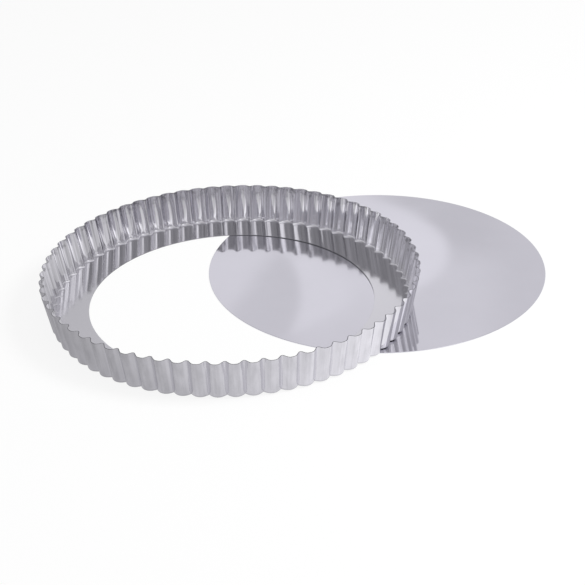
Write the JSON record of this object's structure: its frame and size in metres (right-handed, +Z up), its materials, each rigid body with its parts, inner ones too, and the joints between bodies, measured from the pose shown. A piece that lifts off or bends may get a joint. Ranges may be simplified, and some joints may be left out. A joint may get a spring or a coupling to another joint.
{
  "type": "loose-bottom tart pan",
  "caption": "Round fluted metal ring with a narrow ledge inside its foot, and a loose flat base disc that rests on the ledge; the ring lifts off to free a baked tart.",
  "frame": {"origin": "centre of the loose base's underside, on the surface that the pan lies on", "axes": "+Z up out of the base, +X to the right and +Y to the back as seen from the front; the ring lies to the left and front of the base"},
  "size_m": [0.3796, 0.3159, 0.0314],
  "materials": {
    "polished_tinplate": "polished, mirror-like",
    "tinplate": "bright rolled tinplate"
  },
  "bodies": {
    "base": {"loose_base": "polished_tinplate"},
    "ring": {"fluted_ring": "tinplate"}
  },
  "joints": [
    {"name": "ring_lift", "type": "slide", "parent": "base", "child": "ring", "axis": [0, 0, 1], "range_m": [0, 0.1]}
  ]
}
